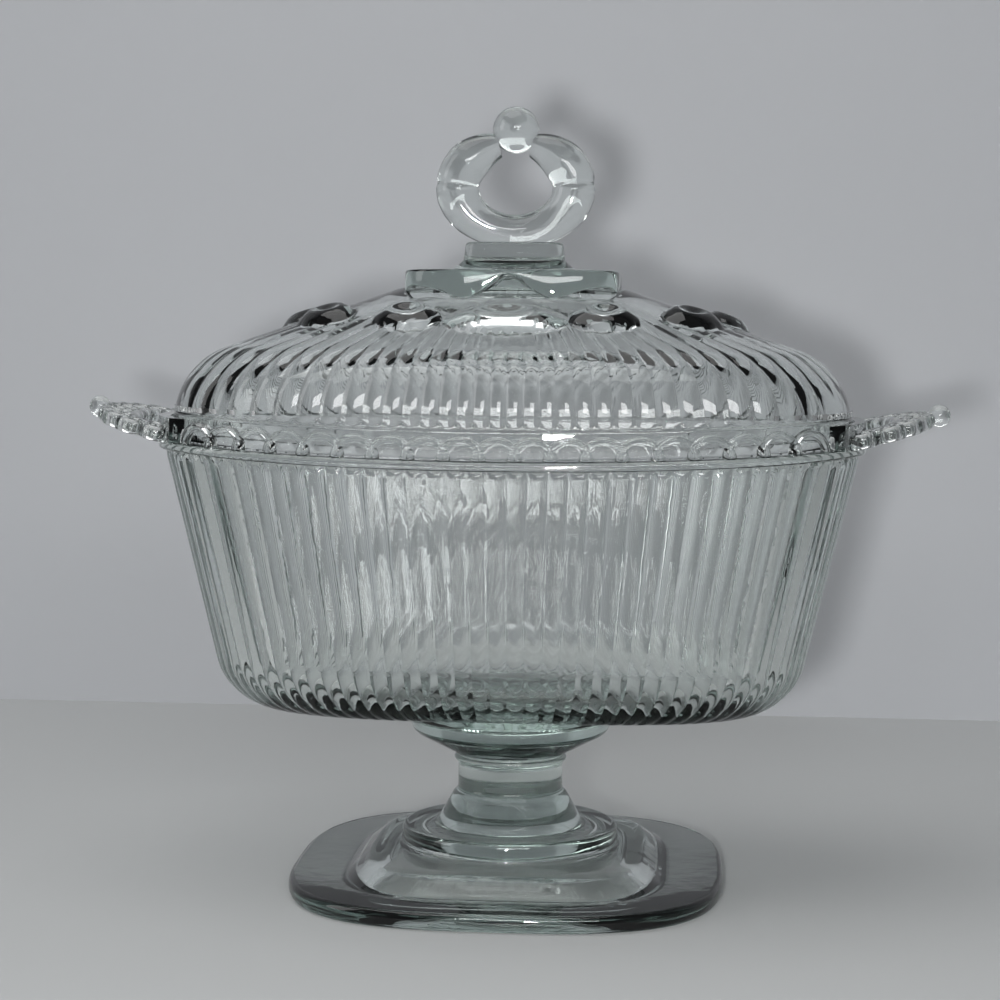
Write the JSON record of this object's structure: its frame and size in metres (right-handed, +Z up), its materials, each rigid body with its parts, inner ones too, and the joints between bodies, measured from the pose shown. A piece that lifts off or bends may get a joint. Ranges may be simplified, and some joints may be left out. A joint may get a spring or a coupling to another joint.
{
  "type": "covered candy dish",
  "caption": "Footed clear pressed-glass candy dish: ribbed basin with an open-lace rim and lace handles, and a lift-off ribbed cover with a ring finial.",
  "frame": {"origin": "on the table, under the middle of the foot", "axes": "+Z up along the stem, +X from the left handle to the right one, +Y from front to back"},
  "size_m": [0.2278, 0.12, 0.2037],
  "materials": {
    "clear_glass": "glossy"
  },
  "bodies": {
    "dish": {"foot": "clear_glass", "stem": "clear_glass", "basin": "clear_glass", "lace_front": "clear_glass", "lace_back": "clear_glass", "handle_left": "clear_glass", "handle_right": "clear_glass"},
    "cover": {"cover_dome": "clear_glass", "cover_crown": "clear_glass", "finial": "clear_glass"}
  },
  "joints": [
    {"name": "cover_lift", "type": "slide", "parent": "dish", "child": "cover", "axis": [0, 0, 1], "range_m": [0, 0.12]}
  ]
}
